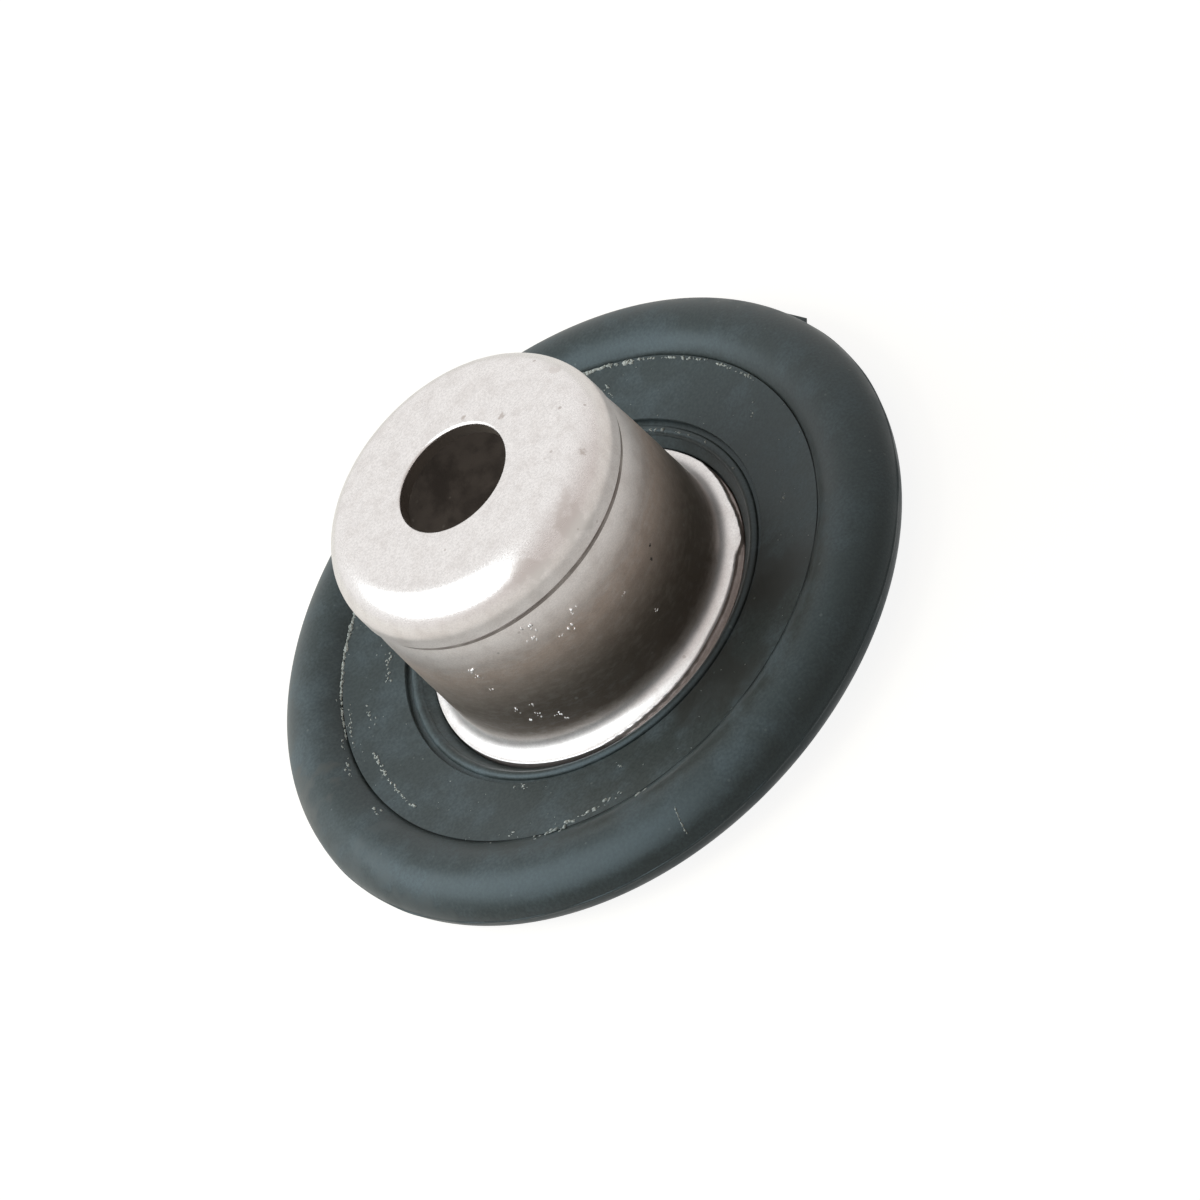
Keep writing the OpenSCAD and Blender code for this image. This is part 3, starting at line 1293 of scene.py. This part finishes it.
    def shape(self, azimuth: Grid, r: Grid, z: Grid) -> Grids:
        """Unevenness of the moulding: flash, a torn tag, a wavering crease and a lower pocket.

        Args:
            azimuth: Angles in radians.
            r: Radii.
            z: Heights.

        Returns:
            The uneven radii and heights.
        """
        degrees = np.degrees(azimuth)
        at_parting = (r > self.bead_mid_r) * np.clip(
            1.0 - (np.abs(z - self.bead_mid_z) / (2.0 * self.fin_half)) ** 4, 0.0, 1.0)
        standing = self.fin_usual + self.fin_ragged * wobble(azimuth, FIN_RAGGED)
        fin = self.fin * np.clip(standing, *self.fin_limits)
        rise = np.clip((self.tag_start - degrees) / (self.tag_start - self.tag_end), 0.0, 1.0)
        fin = fin + self.tag * rise ** self.tag_curve * (degrees > self.tag_end)
        r = r + at_parting * fin
        in_crease = (np.abs(r - self.crease_r) < self.crease_w * 0.52) * (z > self.bead_mid_z)
        depth = np.clip(self.web_z(r) - z, 0.0, self.crease_w)
        facing = np.sin(azimuth - math.radians(self.crease_turn))
        filled = self.crease_fill * smooth_step(*self.shallow_reach, -facing)
        opened = self.crease_open * smooth_step(*self.open_reach, facing)
        z = z + in_crease * depth * (filled - opened)
        near_crease = np.exp(-((r - self.crease_r) / self.waver_reach) ** 2) * (z > self.bead_mid_z)
        ragged = np.clip(wobble(azimuth, CREASE_RAGGED), *self.ragged_limits)
        z = z - near_crease * self.crease_waver * ragged
        at_pocket = smooth_step(self.lip_mid_r - self.lip_r, self.pocket_r, r)
        above_seat = np.clip((z - self.seat_z) / self.flange_sink, 0.0, 1.0)
        z = z - at_pocket * above_seat * round_profile(POCKET_DROP, azimuth)
        soft = (z > self.bead_mid_z) * (r > self.crease_r)
        r = r + soft * self.bead_waver * wobble(azimuth, BEAD_SWAY)
        return r, z

    def build(self, rubber: Material, crease: Material) -> Piece:
        """Makes the ring and dresses it.

        Args:
            rubber: Its material.
            crease: Material in the crease, near black at its bottom as painted shade.

        Returns:
            The piece.
        """
        ring = self.section().revolve("moulded_ring", self.segments, self.shape)
        dress(ring, "ring_rubber", [rubber, rubber, crease], "rubber_ring")
        return ring


class Fleck(NamedTuple):
    """A small lump that sits on a turned surface.

    Attributes:
        azimuth: Angle round the axis in degrees.
        r: Radius.
        z: Height.
        lean: Angle of the surface's normal from outwards, in degrees.
        length: Long side.
        width: Short side.
        turn: Angle of the long side from the way round, in degrees.
    """

    azimuth: float
    r: float
    z: float
    lean: float
    length: float
    width: float
    turn: float


@dataclass
class FleckField:
    """Many small lumps in one mesh.

    Attributes:
        kind: What the lumps are.
        height_share: Height of a lump as a share of its width.
        sink: Depth of its underside below the surface.
        corners: Number of corners of its outline.
        uneven: Smallest and largest reach of a corner.
        shoulder: Share of the reach at its shoulder, and of the height.
        crest: Share of the reach at its crest.
        tip: Height of its tip against that of its crest.
        flecks: The lumps.
    """

    kind: FleckKind
    height_share: float = 0.3
    sink: float = 0.03 * MM
    corners: int = 9
    uneven: Point = (0.65, 1.15)
    shoulder: Point = (0.92, 0.35)
    crest: float = 0.5
    tip: float = 1.1
    flecks: list[Fleck] = field(default_factory=list)

    def build(self, slot: str, material: Material, seed: int) -> Piece:
        """Makes the piece.

        Args:
            slot: The record's material slot.
            material: Its material.
            seed: Seed of the lumps' outlines.

        Returns:
            The piece.
        """
        draw = random.Random(seed)
        places: list[Vector] = []
        faces: list[tuple[int, ...]] = []
        for fleck in self.flecks:
            self.add_lump(fleck, draw, places, faces)
        mesh = bpy.data.meshes.new(self.kind.value)
        mesh.from_pydata([tuple(p) for p in places], [], faces)
        obj = place_mesh(mesh, self.kind.value, sharp_deg=60.0)
        dress(obj, slot, [material])
        return obj

    def add_lump(self, fleck: Fleck, draw: random.Random, places: list[Vector],
                 faces: list[tuple[int, ...]]) -> None:
        """Adds one closed lump with an uneven outline.

        Args:
            fleck: Its place and size.
            draw: Source of its unevenness.
            places: Points so far, which grow.
            faces: Faces so far, which grow.
        """
        corners = self.corners
        azimuth, lean, turn = (math.radians(a) for a in (fleck.azimuth, fleck.lean, fleck.turn))
        outward = Vector((math.cos(azimuth), math.sin(azimuth), 0.0))
        round_way = Vector((-math.sin(azimuth), math.cos(azimuth), 0.0))
        normal = outward * math.cos(lean) + Vector((0.0, 0.0, math.sin(lean)))
        across = normal.cross(round_way)
        long_way = round_way * math.cos(turn) + across * math.sin(turn)
        short_way = normal.cross(long_way)
        centre = outward * fleck.r + Vector((0.0, 0.0, fleck.z))
        outline = [draw.uniform(*self.uneven) for _ in range(corners)]
        height = self.height_share * fleck.width
        first = len(places)
        shoulder, shoulder_height = self.shoulder[0], self.shoulder[1] * height
        levels = ((1.0, -self.sink), (shoulder, shoulder_height), (self.crest, height))
        for reach, lift in levels:
            for i, share in enumerate(outline):
                angle = math.tau * i / corners
                along = long_way * math.cos(angle) * fleck.length
                flat = (along + short_way * math.sin(angle) * fleck.width) / 2
                places.append(centre + flat * reach * share + normal * lift)
        places.append(centre + normal * height * self.tip)
        places.append(centre - normal * self.sink)
        top, bottom = first + 3 * corners, first + 3 * corners + 1
        for i in range(corners):
            j = (i + 1) % corners
            for level in range(2):
                low = first + level * corners
                faces.append((low + i, low + j, low + corners + j, low + corners + i))
            faces.append((first + 2 * corners + i, first + 2 * corners + j, top))
            faces.append((first + j, first + i, bottom))


class FleckRun(NamedTuple):
    """A run of flecks along the rubber's upper face.

    Attributes:
        start: First angle in degrees.
        end: Last angle in degrees.
        r_start: Radius at the start in millimetres.
        r_end: Radius at the end in millimetres.
        count: Number of flecks.
        size: Usual length of a fleck in millimetres.
        spread: Scatter across the run in millimetres.
        turn: Usual angle of a fleck's long side from the way round, in degrees.
    """

    start: float
    end: float
    r_start: float
    r_end: float
    count: int
    size: float
    spread: float
    turn: float = 0.0


CREASE_RUNS = (
    FleckRun(126, 141, 28.1, 28.15, 84, 0.36, 0.12),
    FleckRun(141, 160, 28.15, 28.3, 90, 0.30, 0.12),
    FleckRun(152, 163, 27.3, 27.6, 14, 0.18, 0.12),
    FleckRun(160, 172, 28.5, 28.9, 18, 0.22, 0.14),
    FleckRun(182, 186, 29.0, 29.3, 6, 0.26, 0.2),
    FleckRun(40, 54, 27.7, 27.75, 56, 0.34, 0.1),
    FleckRun(4, 40, 27.65, 27.7, 62, 0.24, 0.06),
    FleckRun(200, 226, 28.4, 28.3, 64, 0.22, 0.06),
    FleckRun(225, 233, 28.3, 27.8, 20, 0.28, 0.15),
    FleckRun(233, 247, 27.6, 26.7, 24, 0.24, 0.14),
    FleckRun(246, 252, 28.4, 28.5, 8, 0.26, 0.2),
)
WEB_RUNS = (
    FleckRun(166, 189, 25.8, 26.5, 46, 0.2, 0.1),
    FleckRun(188.6, 190, 26.35, 26.45, 3, 0.6, 0.1),
    FleckRun(153, 160, 25.9, 24.9, 9, 0.22, 0.3),
    FleckRun(139, 150, 23.05, 22.95, 18, 0.2, 0.25),
    FleckRun(213, 219, 21.4, 21.7, 6, 0.2, 0.2),
    FleckRun(219, 222, 27.3, 27.5, 4, 0.22, 0.25),
    FleckRun(246, 247.5, 22.4, 23.6, 5, 0.18, 0.1),
    FleckRun(44, 47, 24.2, 24.9, 8, 0.24, 0.5),
    FleckRun(-33, -29, 23.6, 24.2, 4, 0.18, 0.3),
    FleckRun(-3, 1, 25.1, 25.4, 4, 0.16, 0.3),
)
LIP_RUNS = (
    FleckRun(24, 30, 19.8, 19.8, 6, 0.26, 0.08),
    FleckRun(6, 20, 19.85, 19.85, 6, 0.22, 0.08),
    FleckRun(-10, -8, 19.9, 19.9, 2, 0.24, 0.05),
)
BEAD_RUNS = (
    FleckRun(-104.0, -105.0, 33.2, 35.4, 18, 0.16, 0.02, 90.0),
)


@dataclass(frozen=True)
class RubberFlecks:
    """Pale flash and dust that cling to the rubber's crease and web.

    Attributes:
        ring: The ring that they cling to.
        seed: Seed of their places.
        strays: Number of stray flecks over the whole web.
        stray_r: Smallest and largest radius of the strays in millimetres.
        stray_size: Smallest and largest length of the strays in millimetres.
        swell: Size of the flecks in the runs against their listed sizes.
        size_scatter: Smallest and largest size there against the usual one.
        slim: Smallest and largest width of a fleck as a share of its length.
        turn_scatter: Scatter in degrees of the way that they lie in the runs.
        crease_half: Half width of the strip in which flecks lie in the crease.
        crease_sink: Depth at which they lie there.
    """

    ring: MouldedRing
    seed: int = 5
    strays: int = 90
    stray_r: Point = (21.3, 28.0)
    stray_size: Point = (0.08, 0.2)
    swell: float = 1.5
    size_scatter: Point = (0.5, 1.5)
    slim: Point = (0.35, 0.75)
    turn_scatter: float = 25.0
    crease_half: float = 0.2 * MM
    crease_sink: float = 0.14 * MM

    def sit(self, azimuth: float, r: float, size: float, turn: float, draw: random.Random) -> Fleck:
        """Puts one fleck on the web, on the bead past the crease or on the lip's crest.

        Args:
            azimuth: Angle in degrees.
            r: Radius.
            size: Length.
            turn: Angle of its long side from the way round.
            draw: Source of its width.

        Returns:
            The fleck.
        """
        ring = self.ring
        z, lean = ring.web_z(min(r, ring.crease_r)), ring.web_lean
        if r > ring.crease_r + self.crease_half:
            z, lean = ring.bead_at(r)
        elif r > ring.crease_r - self.crease_half:
            z -= self.crease_sink
        elif r < ring.groove_outer_r:
            fall = 0.5 * (r - ring.lip_mid_r) ** 2 / ring.lip_r
            z, lean = ring.web_inner_z - ring.lip_drop - fall, 90.0
        return Fleck(azimuth, r, z, lean, size, size * draw.uniform(*self.slim), turn)

    def build(self, material: Material) -> Piece:
        """Makes the flecks in one piece.

        Args:
            material: Their material.

        Returns:
            The piece.
        """
        draw = random.Random(self.seed)
        flash = FleckField(FleckKind.FLASH)
        for run in (*CREASE_RUNS, *WEB_RUNS, *LIP_RUNS, *BEAD_RUNS):
            for _ in range(run.count):
                share = draw.random()
                mid_r = run.r_start + share * (run.r_end - run.r_start)
                r = (mid_r + draw.gauss(0.0, run.spread)) * MM
                azimuth = run.start + share * (run.end - run.start)
                size = self.swell * run.size * draw.uniform(*self.size_scatter) * MM
                turn = draw.gauss(run.turn, self.turn_scatter)
                flash.flecks.append(self.sit(azimuth, r, size, turn, draw))
        for _ in range(self.strays):
            r = draw.uniform(*self.stray_r) * MM
            size = draw.uniform(*self.stray_size) * MM
            azimuth, turn = draw.uniform(0.0, 360.0), draw.uniform(0.0, 180.0)
            flash.flecks.append(self.sit(azimuth, r, size, turn, draw))
        return flash.build("ring_rubber", material, self.seed)


class Nick(NamedTuple):
    """A bright nick on the cup's wall: angle in degrees, height and size in millimetres."""

    azimuth: float
    z: float
    size: float


CUP_NICKS = (
    Nick(-109.0, 18.6, 0.8), Nick(-111.5, 17.6, 0.9), Nick(-94.5, 17.1, 0.8),
    Nick(-98.5, 15.9, 0.8), Nick(-103.0, 15.6, 0.5), Nick(-138.1, 16.3, 0.8),
    Nick(-138.6, 15.2, 0.6), Nick(-138.9, 13.0, 0.5), Nick(-137.6, 9.0, 0.6),
    Nick(-130.6, 9.4, 0.4), Nick(-136.2, 7.4, 0.5), Nick(-131.8, 7.8, 0.6),
    Nick(-125.9, 6.9, 0.6), Nick(-124.6, 5.9, 0.5), Nick(-78.5, 13.7, 0.4),
    Nick(-75.0, 9.1, 0.4),
)


@dataclass(frozen=True)
class CupNicks:
    """Bright nicks and burrs on the cup's wall.

    Attributes:
        cup: The cup that they are on.
        burrs: Number of small burrs in each nick.
        burr_share: Largest length of a burr as a share of its nick's size.
        size_scatter: Smallest and largest share of that length.
        slim: Smallest and largest width of a burr as a share of its length.
        turns: Smallest and largest angle of its long side from the way round, in degrees.
        spread_round: Scatter round the cup in degrees per millimetre of the nick's size.
        spread_up: Scatter in height as a share of the nick's size.
        seed: Seed of their outlines.
    """

    cup: DrawnCup
    burrs: int = 5
    burr_share: float = 0.62
    size_scatter: Point = (0.4, 1.0)
    slim: Point = (0.45, 0.8)
    turns: Point = (20.0, 110.0)
    spread_round: float = 1.1
    spread_up: float = 0.3
    seed: int = 17

    def build(self, material: Material) -> Piece:
        """Makes the nicks in one piece.

        Args:
            material: Their material.

        Returns:
            The piece.
        """
        draw = random.Random(self.seed)
        burrs = FleckField(FleckKind.NICK, height_share=0.5, sink=0.06 * MM)
        for nick in CUP_NICKS:
            for _ in range(self.burrs):
                size = self.burr_share * nick.size * draw.uniform(*self.size_scatter) * MM
                azimuth = nick.azimuth + draw.gauss(0.0, self.spread_round * nick.size)
                z = (nick.z + draw.gauss(0.0, self.spread_up * nick.size)) * MM
                width, turn = size * draw.uniform(*self.slim), draw.uniform(*self.turns)
                burrs.flecks.append(
                    Fleck(azimuth, self.cup.outside_r(z), z, 0.0, size, width, turn))
        return burrs.build("cup_steel", material, self.seed)


class Lamp(NamedTuple):
    """A soft lamp that points at the mount.

    Attributes:
        name: Its name.
        direction: Direction from the mount to it.
        distance: Its distance.
        size: Its width and height.
        watts: Its power.
        tint: Its colour.
    """

    name: str
    direction: Direction
    distance: float
    size: Point
    watts: float
    tint: Colour = (0.87, 0.96, 1.0)

    def place(self) -> Piece:
        """Makes the lamp.

        Returns:
            The lamp's object.
        """
        light = bpy.data.lights.new(self.name, "AREA")
        light.shape = "ELLIPSE"
        light.size, light.size_y = self.size
        light.energy = self.watts
        light.color = self.tint
        obj = bpy.data.objects.new(self.name, light)
        way = Vector(self.direction).normalized()
        obj.location = way * self.distance
        obj.rotation_euler = way.to_track_quat("Z", "Y").to_euler()
        bpy.context.scene.collection.objects.link(obj)
        return obj


KEY_LAMP = Lamp("key_lamp", (-0.60, -0.03, 0.80), 0.40, (0.74, 0.38), 1.6)
SIDE_LAMP = Lamp("side_lamp", (-0.67, 0.42, 0.61), 0.40, (0.26, 0.26), 0.76)


@dataclass(frozen=True)
class Studio:
    """Floor, light and camera.

    Attributes:
        elevation: Angle of the camera above the floor in degrees.
        roll: Anticlockwise turn of the picture in degrees.
        distance: Distance from the camera to its target.
        target_z: Height of the target on the mount's axis.
        lens_mm: Focal length of the lens in millimetres.
        sensor_mm: Width of the camera's sensor in millimetres.
        clip: Nearest and farthest distance that the camera sees.
        frame_px: Side of the square picture in pixels.
        target_px: Where the target falls in the picture.
        floor_r: Radius of the floor.
        floor_gap: Depth of the floor below the ring's underside.
        bright_dir: Direction in which the surroundings are brightest, as reflections show them.
        bright_reach: Cosines to that direction at which they brighten and are brightest.
        bright: Colour of the surroundings there.
        dim: Colour of the surroundings on the other side.
        fill_dir: Direction from which the surroundings light matt surfaces most.
        fill_reach: Cosines to that direction at which their light starts and is full.
        fill_bright: Their light from there.
        fill_dim: Their light from the other side.
        floor_matt: Colour of the floor's matt part.
        floor_glow: Share of the floor's white that doesn't take shadow.
        floor_mirrored: That share as reflections show it.
    """

    elevation: float = 41.6
    roll: float = 46.78
    distance: float = 0.432
    target_z: float = 2.5 * MM
    lens_mm: float = 130.68
    sensor_mm: float = 36.0
    clip: Point = (0.01, 20.0)
    frame_px: float = 1200.0
    target_px: Point = (584.6, 602.4)
    floor_r: float = 3.0
    floor_gap: float = 0.03 * MM
    bright_dir: Direction = (-0.12, 0.86, 0.48)
    bright_reach: Point = (-0.5, 0.8)
    bright: Colour = (0.93, 0.92, 0.915)
    dim: Colour = (0.66, 0.615, 0.595)
    fill_dir: Direction = (-0.52, 0.70, 0.48)
    fill_reach: Point = (0.1, 1.05)
    fill_bright: Colour = (0.70, 0.71, 0.66)
    fill_dim: Colour = (0.05, 0.042, 0.03)
    floor_matt: Colour = (0.33, 0.30, 0.25)
    floor_glow: float = 0.90
    floor_mirrored: float = 0.64

    def build(self) -> None:
        """Makes everything round the mount."""
        self.make_floor()
        self.make_world()
        self.make_lamps()
        self.make_camera()

    @staticmethod
    def ray_masks(bench: NodeBench) -> tuple[Socket, Socket]:
        """Masks of two kinds of rays that meet the surroundings.

        Args:
            bench: The bench of the floor or of the surroundings.

        Returns:
            The mask of rays from the camera, and of those that are mirrored or pass through glass.
        """
        rays = bench.add("ShaderNodeLightPath").outputs
        mirrored = bench.maths("MAXIMUM", rays["Is Glossy Ray"], rays["Is Transmission Ray"])
        return rays["Is Camera Ray"], mirrored

    def make_floor(self) -> None:
        """A plain white floor that keeps the mount's shadow and is clear from below."""
        mesh = bpy.data.meshes.new("floor")
        work = bmesh.new()
        bmesh.ops.create_circle(work, cap_ends=True, segments=96, radius=self.floor_r)
        work.to_mesh(mesh)
        work.free()
        floor = bpy.data.objects.new("floor", mesh)
        floor.location.z = -self.floor_gap
        bpy.context.scene.collection.objects.link(floor)
        material = bpy.data.materials.new("floor_white")
        material.use_nodes = True
        bench = NodeBench(material.node_tree)
        direct, mirrored = self.ray_masks(bench)
        shown = bench.maths("MULTIPLY", direct, self.floor_glow)
        strength = bench.maths("MULTIPLY_ADD", mirrored, self.floor_mirrored, shown)
        matt = bench.add("ShaderNodeBsdfDiffuse", {"Color": (*self.floor_matt, 1.0)})
        glow = bench.add("ShaderNodeEmission", {"Strength": strength})
        both = bench.add("ShaderNodeAddShader", {0: matt.outputs[0], 1: glow.outputs[0]})
        from_below = bench.add("ShaderNodeNewGeometry").outputs["Backfacing"]
        clear = bench.add("ShaderNodeBsdfTransparent")
        shader = bench.add("ShaderNodeMixShader",
                           {0: from_below, 1: both.outputs[0], 2: clear.outputs[0]})
        bench.add("ShaderNodeOutputMaterial", {"Surface": shader.outputs[0]})
        mesh.materials.append(material)

    @staticmethod
    def towards(bench: NodeBench, direction: Direction, low: float, high: float) -> Socket:
        """Share from 0 to 1 of how far a ray into the surroundings goes in a direction.

        Args:
            bench: The surroundings' bench.
            direction: The direction.
            low: Cosine to the direction with a share of 0.
            high: Cosine to the direction with a share of 1.

        Returns:
            The share.
        """
        ray = bench.add("ShaderNodeTexCoord").outputs["Generated"]
        way = tuple(Vector(direction).normalized())
        facing = bench.add("ShaderNodeVectorMath", {0: ray, 1: way}, operation="DOT_PRODUCT")
        return bench.graded(facing.outputs["Value"], low, high)

    def make_world(self) -> None:
        """Surroundings that look white, and light the mount more from behind and from the left."""
        world = bpy.data.worlds.new("studio")
        bpy.context.scene.world = world
        world.use_nodes = True
        bench = NodeBench(world.node_tree)
        direct, mirrored = self.ray_masks(bench)
        fill = self.towards(bench, self.fill_dir, *self.fill_reach)
        glint = self.towards(bench, self.bright_dir, *self.bright_reach)
        matt = bench.blend(fill, self.fill_dim, self.fill_bright)
        shown = bench.blend(glint, self.dim, self.bright)
        colour = bench.blend(direct, bench.blend(mirrored, matt, shown), (1.0, 1.0, 1.0))
        light = bench.add("ShaderNodeBackground", {"Color": colour})
        bench.add("ShaderNodeOutputWorld", {"Surface": light.outputs[0]})

    @staticmethod
    def make_lamps() -> None:
        """A long lamp on the left for highlights alone, and a side lamp for matt surfaces alone."""
        KEY_LAMP.place().visible_diffuse = False
        SIDE_LAMP.place().visible_glossy = False

    def make_camera(self) -> None:
        """The camera at the picture's angle, rolled as the picture is."""
        up_angle, roll = math.radians(self.elevation), math.radians(self.roll)
        back = Vector((0.0, -math.cos(up_angle), math.sin(up_angle)))
        level_up = Vector((0.0, math.sin(up_angle), math.cos(up_angle)))
        level_right = Vector((1.0, 0.0, 0.0))
        right = level_right * math.cos(roll) - level_up * math.sin(roll)
        up = level_right * math.sin(roll) + level_up * math.cos(roll)
        place = Vector((0.0, 0.0, self.target_z)) + back * self.distance
        data = bpy.data.cameras.new("camera")
        data.lens = self.lens_mm
        data.sensor_width = self.sensor_mm
        data.clip_start, data.clip_end = self.clip
        data.shift_x = (self.frame_px / 2 - self.target_px[0]) / self.frame_px
        data.shift_y = (self.target_px[1] - self.frame_px / 2) / self.frame_px
        camera = bpy.data.objects.new("camera", data)
        axes = Matrix((right, up, back)).transposed()
        camera.matrix_world = Matrix.Translation(place) @ axes.to_4x4()
        bpy.context.scene.collection.objects.link(camera)
        bpy.context.scene.camera = camera


def main() -> None:
    """Builds the mount and its surroundings."""
    logging.basicConfig(level=logging.INFO, format="%(name)s: %(message)s")
    bpy.context.scene.view_settings.view_transform = "Standard"
    Studio().build()
    shelf = EffectShelf()
    cup = DrawnCup.from_frame()
    ring = MouldedRing.from_frame()
    cup.build(SATIN_STEEL.make(shelf), DARK_INSIDE.make(shelf), LINE_SHADE.make(shelf))
    ring.build(MOULDED_RUBBER.make(shelf), DEEP_CREASE.make(shelf))
    RubberFlecks(ring).build(PALE_FLASH.make(shelf))
    CupNicks(cup).build(BRIGHT_NICK.make(shelf))


if __name__ == "__main__":
    main()
